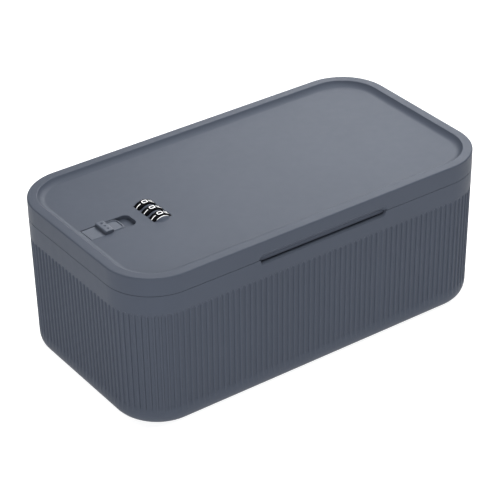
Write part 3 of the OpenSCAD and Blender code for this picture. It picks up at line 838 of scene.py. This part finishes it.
def stroke_on_wheel(path, closed, y_mid, angle, lift):
    """One stroke of a number as a thin solid that hugs the wheel.

    On top of the wheel, the number's own top points towards +X.
    """
    corner_r, longest = 0.85, 0.4
    pts = rounded_path(path, corner_r, closed)
    fine = []
    count = len(pts)
    for i in range(count if closed else count - 1):
        a, b = pts[i], pts[(i + 1) % count]
        pieces = max(1, int(np.linalg.norm(b - a) / longest))
        fine += [a + (b - a) * s / pieces for s in range(pieces)]
    if not closed:
        fine.append(pts[-1])
    fine = [p for i, p in enumerate(fine) if i == 0 or np.linalg.norm(p - fine[i - 1]) > 1e-4]
    if closed and np.linalg.norm(fine[0] - fine[-1]) < 1e-4:
        fine.pop()
    fine = np.array(fine)
    if closed:
        step = np.roll(fine, -1, axis=0) - np.roll(fine, 1, axis=0)
    else:
        step = np.gradient(fine, axis=0)
    step /= np.linalg.norm(step, axis=1, keepdims=True)
    side = np.c_[step[:, 1], -step[:, 0]] * STROKE_HALF
    sunk = -0.05

    def place(p, height):
        t = angle - p[1] / WHEEL_R
        r = WHEEL_R + height
        return (AXLE_X - r * math.sin(t), y_mid - p[0], AXLE_Z + r * math.cos(t))

    verts, n = [], len(fine)
    for p, s in zip(fine, side):
        verts += [place(p - s, sunk), place(p + s, sunk), place(p + s, lift), place(p - s, lift)]
    faces = []
    for i in range(n if closed else n - 1):
        a, b = i * 4, ((i + 1) % n) * 4
        for k in range(4):
            m = (k + 1) % 4
            faces.append((a + k, a + m, b + m, b + k))
    if not closed:
        faces.append((3, 2, 1, 0))
        end = (n - 1) * 4
        faces.append((end, end + 1, end + 2, end + 3))
    return verts, faces


def make_wheels(black, ink):
    """Each wheel has a slot for its cam's dog, and the numbers as a piece of their own."""
    for number, y in enumerate(WHEEL_YS, 1):
        wheel = new_object(f"number_ring_{number}", *wheel_shape(y))
        w = WHEEL_W / 2
        key = block((AXLE_X - 0.9, y - w - 1, AXLE_Z), (AXLE_X + 0.9, y - w + 1.1, AXLE_Z + 4.35), 0.15)
        combine(wheel, [key], "DIFFERENCE")
        finish_mesh(wheel, black, 45)
        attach(wheel, f"dial_{number}")
        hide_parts(f"number_wheel_{number}")
        strokes = []
        for digit, paths in DIGITS.items():
            for order, (path, closed) in enumerate(paths):
                lift = 0.04 - 0.006 * order
                strokes.append(stroke_on_wheel(path, closed, y, digit * DIGIT_TURN, lift))
        marks = new_object(f"wheel_numbers_{number}", *join_shapes(strokes))
        finish_mesh(marks, ink, 30)
        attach(marks, f"dial_{number}")


# ---------------------------------------------------------------------------
# Reset spring
# ---------------------------------------------------------------------------
def make_reset_spring(material):
    low, high = box_mm("reset_spring")
    wire, mean, turns = 0.25, 2.3, 3.5
    steps, sides = 170, 12
    y0, y1 = low[1] + wire, high[1] - wire
    rings = []
    for i in range(steps + 1):
        turn = TAU * turns * i / steps
        y = y0 + (y1 - y0) * i / steps
        ring = []
        for k in range(sides):
            a = TAU * k / sides
            r = mean + wire * math.cos(a)
            ring.append((AXLE_X + r * math.cos(turn), y + wire * math.sin(a), AXLE_Z + r * math.sin(turn)))
        rings.append(ring)
    spring = new_object("reset_coil", *loft(rings))
    finish_mesh(spring, material, 60)
    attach(spring, "lid")
    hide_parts("reset_spring")
    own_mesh(spring)


# ---------------------------------------------------------------------------
# Strike screws
# ---------------------------------------------------------------------------
def make_strike_screws(material):
    """Pan-head screws with a cross recess. They end well inside the wall, behind the flutes."""
    low, high = box_mm("strike_screws")
    seat = box_mm("strike_plate")[0][0] + STRIKE_T
    tip = -BOX_L / 2 + STRIKE_SCREW_END
    head_r, shank_r, top = 2.6, 1.15, high[0]
    places = [(side * (high[1] - head_r), (low[2] + high[2]) / 2) for side in (-1, 1)]
    profile = [(tip, 0), (tip, 0.7), (tip + 0.45, shank_r), (seat, shank_r), (seat, head_r - 0.1),
               (seat + 0.1, head_r), (top - 0.85, head_r), (top - 0.45, head_r - 0.2),
               (top - 0.18, head_r - 0.65), (top - 0.04, head_r - 1.4), (top, 0)]
    shapes = []
    for y, z in places:
        verts, faces = lathe_y(y, z, profile, 48)
        shapes.append(([(v[1], v[0], v[2]) for v in verts], faces))
    screws = new_object("strike_pan_screws", *join_shapes(shapes))
    for half_y, half_z in ((1.35, 0.35), (0.35, 1.35)):
        slots = [block((top - 0.9, y - half_y, z - half_z), (top + 0.5, y + half_y, z + half_z), 0.05)
                 for y, z in places]
        combine(screws, slots, "DIFFERENCE")
    finish_mesh(screws, material, 35)
    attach(screws, "bin")
    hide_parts("strike_screws")


# ---------------------------------------------------------------------------
# Materials
# ---------------------------------------------------------------------------
def shader(name):
    """A new material, its nodes and links, its shader, and the place on the object."""
    mat = bpy.data.materials.new(name)
    mat.use_nodes = True
    nodes, links = mat.node_tree.nodes, mat.node_tree.links
    bsdf = nodes["Principled BSDF"]
    where = nodes.new("ShaderNodeTexCoord")
    return mat, nodes, links, bsdf, where.outputs["Object"]


def noise(nodes, links, where, scale, detail=3.0, rough=0.55, stretch=None):
    """Noise over the object. A stretch draws it out into lines."""
    node = nodes.new("ShaderNodeTexNoise")
    node.inputs["Scale"].default_value = scale
    node.inputs["Detail"].default_value = detail
    node.inputs["Roughness"].default_value = rough
    if stretch:
        mapping = nodes.new("ShaderNodeMapping")
        mapping.inputs["Scale"].default_value = stretch
        links.new(where, mapping.inputs["Vector"])
        where = mapping.outputs["Vector"]
    links.new(where, node.inputs["Vector"])
    return node.outputs["Fac"]


def ramp(nodes, links, value, stops):
    """Colours from stops of (position, colour)."""
    node = nodes.new("ShaderNodeValToRGB")
    while len(node.color_ramp.elements) < len(stops):
        node.color_ramp.elements.new(0.5)
    for element, (pos, colour) in zip(node.color_ramp.elements, stops):
        element.position = pos
        element.color = colour
    links.new(value, node.inputs["Fac"])
    return node.outputs["Color"]


def remap(nodes, links, value, low, high):
    """A noise's middle range, stretched to run from low to high."""
    node = nodes.new("ShaderNodeMapRange")
    node.inputs["From Min"].default_value = 0.3
    node.inputs["From Max"].default_value = 0.7
    node.inputs["To Min"].default_value = low
    node.inputs["To Max"].default_value = high
    links.new(value, node.inputs["Value"])
    return node.outputs["Result"]


def bump(nodes, links, height, strength, distance, onto=None):
    """Surface relief, with its distance in metres."""
    node = nodes.new("ShaderNodeBump")
    node.inputs["Strength"].default_value = strength
    node.inputs["Distance"].default_value = distance
    links.new(height, node.inputs["Height"])
    if onto is not None:
        links.new(onto, node.inputs["Normal"])
    return node.outputs["Normal"]


# tint of the plastics' gloss, which looks a little blue in the photo
COOL_GLOSS = (0.74, 0.83, 1.0, 1.0)


def tone(colour, factor):
    """A colour made lighter or darker."""
    return (colour[0] * factor, colour[1] * factor, colour[2] * factor, 1.0)


def moulded_plastic(name, colour, roughness, grain=0.25, specular=0.5, spread=0.035):
    """Injection-moulded plastic: faint flow shading, a fine spark-eroded grain and small changes of gloss."""
    dullest, glossiest = roughness + 0.03, roughness - 0.03
    mat, nodes, links, bsdf, where = shader(name)
    flow = noise(nodes, links, where, 9, 2.0)
    links.new(ramp(nodes, links, flow, [(0.3, tone(colour, 1 - spread)), (0.7, tone(colour, 1 + spread))]),
              bsdf.inputs["Base Color"])
    gloss = noise(nodes, links, where, 160, 4.0)
    links.new(remap(nodes, links, gloss, glossiest, dullest), bsdf.inputs["Roughness"])
    fine = noise(nodes, links, where, 2600, 3.0, 0.6)
    coarse = noise(nodes, links, where, 420, 2.0)
    normal = bump(nodes, links, coarse, grain * 0.35, 0.00006)
    links.new(bump(nodes, links, fine, grain, 0.00004, normal), bsdf.inputs["Normal"])
    bsdf.inputs["Specular IOR Level"].default_value = specular
    bsdf.inputs["IOR"].default_value = 1.5
    bsdf.inputs["Specular Tint"].default_value = COOL_GLOSS
    return mat


def brushed_steel(name, colour, roughness, stretch):
    """Steel with fine lines from rolling or turning, and slight tarnish."""
    mat, nodes, links, bsdf, where = shader(name)
    lines = noise(nodes, links, where, 90, 5.0, 0.6, stretch)
    cloud = noise(nodes, links, where, 140, 3.0)
    links.new(ramp(nodes, links, cloud, [(0.3, tone(colour, 0.86)), (0.7, tone(colour, 1.04))]),
              bsdf.inputs["Base Color"])
    links.new(remap(nodes, links, lines, roughness - 0.05, roughness + 0.06), bsdf.inputs["Roughness"])
    links.new(bump(nodes, links, lines, 0.06, 0.00003), bsdf.inputs["Normal"])
    bsdf.inputs["Metallic"].default_value = 1.0
    return mat


def printed_ink(name, colour):
    """Pad-printed ink with a slightly uneven film."""
    mat, nodes, links, bsdf, where = shader(name)
    cover = noise(nodes, links, where, 2500, 3.0)
    links.new(ramp(nodes, links, cover, [(0.2, tone(colour, 0.93)), (0.6, colour)]),
              bsdf.inputs["Base Color"])
    links.new(remap(nodes, links, cover, 0.4, 0.55), bsdf.inputs["Roughness"])
    links.new(bump(nodes, links, cover, 0.15, 0.00002), bsdf.inputs["Normal"])
    return mat


slate = moulded_plastic("slate_moulded_plastic", (0.0495, 0.0575, 0.076, 1.0), 0.5, specular=0.1)
# the slider's plastic is a little lighter than the shell's: a painted highlight in its colour, standing in
# for the bright edges of the latch; its higher gloss is a material setting
slide = moulded_plastic("slide_plastic_painted_lighter", (0.054, 0.062, 0.081, 1.0), 0.4, grain=0.15, specular=0.2)
black = moulded_plastic("black_wheel_plastic", (0.002, 0.002, 0.0025, 1.0), 0.65, grain=0.12, specular=0.03)
dark = moulded_plastic("dark_inner_plastic", (0.045, 0.048, 0.053, 1.0), 0.5, grain=0.3)
acetal = moulded_plastic("cream_acetal", (0.66, 0.62, 0.52, 1.0), 0.38, grain=0.12, spread=0.03)
ink = printed_ink("white_ink", (0.92, 0.92, 0.93, 1.0))
plated = brushed_steel("plated_steel", (0.62, 0.63, 0.65, 1.0), 0.32, (1.0, 14.0, 14.0))
turned = brushed_steel("turned_steel", (0.64, 0.64, 0.65, 1.0), 0.26, (14.0, 1.0, 14.0))
sprung = brushed_steel("spring_steel", (0.42, 0.43, 0.45, 1.0), 0.36, (10.0, 10.0, 1.0))
screw_steel = brushed_steel("screw_steel", (0.55, 0.55, 0.56, 1.0), 0.34, (3.0, 3.0, 3.0))

NODE_MATERIALS = {
    "strike_plate": plated,
    "latch_bolt": plated,
    "housing_screws": screw_steel,
    "bolt_screws": screw_steel,
    "hinge_pins": turned,
    "dial_axle": turned,
    "axle_clips": sprung,
    "dial_detent_spring": sprung,
    "latch_detent_spring": sprung,
    "lock_housing": dark,
    "reset_button": dark,
    "wheel_cam_1": acetal,
    "wheel_cam_2": acetal,
    "wheel_cam_3": acetal,
}
for node_name, node_material in NODE_MATERIALS.items():
    node = frame["nodes"][node_name]
    if not node.material_slots:
        node.data.materials.append(node_material)
    for material_slot in node.material_slots:
        material_slot.material = node_material

make_bin(slate)
make_lid(slate)
# the pale crescent on the mound's front edge is a painted highlight, not a part
make_painted_edge_highlight(ink)
make_slider(slide)
make_wheels(black, ink)
make_reset_spring(sprung)
make_strike_screws(screw_steel)

# ---------------------------------------------------------------------------
# Floor, light and camera
# ---------------------------------------------------------------------------
FLOOR_HALF = 9000
floor_plan = [(-FLOOR_HALF, -FLOOR_HALF), (FLOOR_HALF, -FLOOR_HALF), (FLOOR_HALF, FLOOR_HALF),
              (-FLOOR_HALF, FLOOR_HALF)]
floor = new_object("floor", *loft([[(x, y, z) for x, y in floor_plan] for z in (-12, -0.05)]))
floor_mat, f_nodes, f_links, f_bsdf, f_where = shader("pale_floor")
f_links.new(ramp(f_nodes, f_links, noise(f_nodes, f_links, f_where, 3),
                 [(0.2, (0.38, 0.38, 0.38, 1)), (0.8, (0.42, 0.42, 0.42, 1))]), f_bsdf.inputs["Base Color"])
f_bsdf.inputs["Roughness"].default_value = 0.9
f_bsdf.inputs["Specular IOR Level"].default_value = 0.1
f_bsdf.inputs["Emission Color"].default_value = (1.0, 1.0, 1.0, 1.0)
f_bsdf.inputs["Emission Strength"].default_value = 0.84
floor.data.materials.append(floor_mat)

world = bpy.data.worlds.new("studio")
world.use_nodes = True
world.node_tree.nodes["Background"].inputs["Color"].default_value = (1.0, 1.0, 1.0, 1.0)
world.node_tree.nodes["Background"].inputs["Strength"].default_value = 0.1
bpy.context.scene.world = world


def area_light(name, place, size, power):
    """A square soft light that faces the box."""
    data = bpy.data.lights.new(name, "AREA")
    data.shape = "SQUARE"
    data.size = size
    data.energy = power
    light = bpy.data.objects.new(name, data)
    bpy.context.scene.collection.objects.link(light)
    light.location = place
    light.rotation_euler = (FOCUS - Vector(place)).to_track_quat("-Z", "Y").to_euler()


FOCUS = Vector((0, 0, 0.08))
area_light("front_left", (-1.176, -1.176, 0.433), 0.9, 23)
area_light("high_right", (0.5, 0.05, 1.6), 0.9, 27)
area_light("front_right_key", (0.785, -0.842, 1.191), 0.35, 8)
area_light("back_right", (0.985, 0.985, 1.055), 0.9, 20)
area_light("low_back_right", (1.176, 1.176, 0.433), 0.9, 6)
area_light("back_left", (-0.85, 1.12, 0.95), 0.7, 7)

# the photo's viewing angle, from a camera fitted to the box's outline
AZIMUTH, ELEVATION, ROLL = map(math.radians, (-35.1644, 32.0377, -1.0027))
DISTANCE = 1.4503
LOOK_AT = Vector((-0.0053, -0.0016, 0.0571))
LENS_MM = 147.35
back = Vector((
    math.sin(AZIMUTH) * math.cos(ELEVATION),
    -math.cos(AZIMUTH) * math.cos(ELEVATION),
    math.sin(ELEVATION),
))
right = Vector((math.cos(AZIMUTH), math.sin(AZIMUTH), 0))
up = back.cross(right)
turned_right = math.cos(ROLL) * right + math.sin(ROLL) * up
turned_up = -math.sin(ROLL) * right + math.cos(ROLL) * up
eye = LOOK_AT + back * DISTANCE
camera_data = bpy.data.cameras.new("camera")
camera_data.sensor_width = 36
camera_data.lens = LENS_MM
camera_data.clip_end = 20
camera = bpy.data.objects.new("camera", camera_data)
bpy.context.scene.collection.objects.link(camera)
camera.matrix_world = Matrix((
    (turned_right.x, turned_up.x, back.x, eye.x),
    (turned_right.y, turned_up.y, back.y, eye.y),
    (turned_right.z, turned_up.z, back.z, eye.z),
    (0, 0, 0, 1),
))
bpy.context.scene.camera = camera
bpy.context.scene.view_settings.view_transform = "Standard"
bpy.context.scene.view_settings.look = "None"
